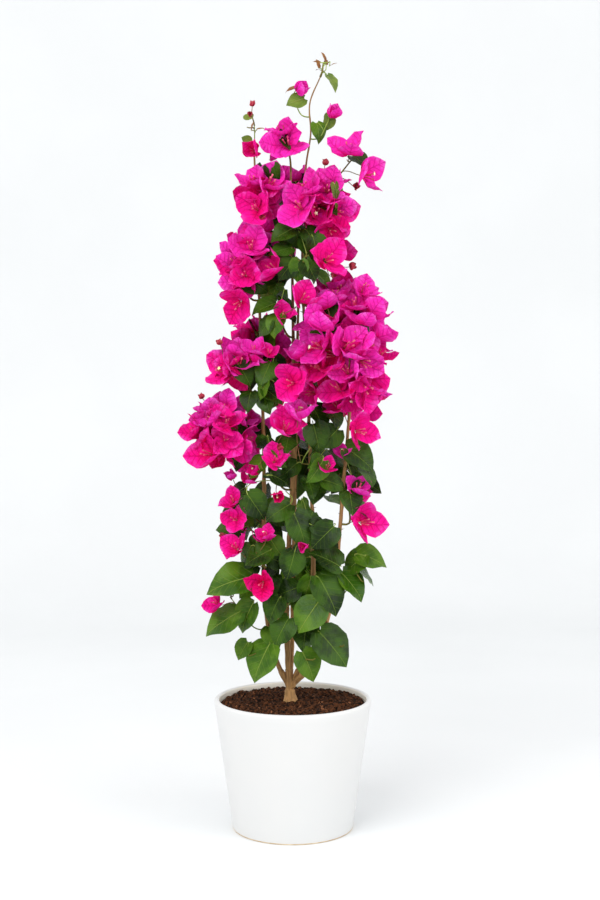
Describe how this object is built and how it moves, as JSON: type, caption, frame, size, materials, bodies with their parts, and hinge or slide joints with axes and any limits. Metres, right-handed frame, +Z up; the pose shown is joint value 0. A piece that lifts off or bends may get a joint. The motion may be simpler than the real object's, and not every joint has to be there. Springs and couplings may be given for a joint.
{
  "type": "potted bougainvillea",
  "caption": "Potted bougainvillea: a short forked trunk, slender stems, heart-shaped leaves and magenta bracts in a narrow crown over a tapered white pot.",
  "frame": {"origin": "centre of the pot's flat underside", "axes": "+Z up the plant, -Y towards the front of the crown, +X to the right seen from the front"},
  "size_m": [0.3441, 0.2681, 1.2221],
  "materials": {
    "pot": "white satin glaze",
    "soil": "crumbly dark peat compost",
    "bark": "matt, fissured and knobbly",
    "bracts": "papery magenta with darker veins",
    "foliage": "satin dark green with pale veins"
  },
  "bodies": {
    "root": {"pot": "pot", "soil": "soil", "trunk": "bark", "stem_left": "bark", "stem_main": "bark", "stem_middle": "bark", "stem_right": "bark", "stem_back": "bark", "leader": "bark", "low_shoot": "bark", "back_centre": "bracts", "back_clump_lower": "bracts", "back_clump_upper": "bracts", "back_cluster": "bracts", "back_crest": "bracts", "back_left": "bracts", "back_low": "foliage", "back_lower_left": "foliage", "back_lower_right": "foliage", "back_top_left": "bracts", "back_top_right": "bracts", "back_waist": "foliage", "clump": "bracts", "cluster_left": "bracts", "crest": "bracts", "foot_front": "foliage", "foot_left": "foliage", "foot_right": "foliage", "high_front": "foliage", "high_left": "bracts", "inner_left": "foliage", "leader_buds_left": "foliage", "leader_buds_right": "foliage", "leader_tip": "foliage", "left_tip": "foliage", "low_front_left": "foliage", "low_front_right": "foliage", "low_left": "foliage", "low_right": "foliage", "lower_centre": "foliage", "lower_front": "foliage", "lower_left": "bracts", "shoulder_front": "foliage", "spray_left": "bracts", "top_front": "bracts", "top_left": "bracts", "top_right": "bracts", "waist_front": "foliage", "waist_left": "foliage", "waist_right": "foliage"}
  },
  "joints": []
}
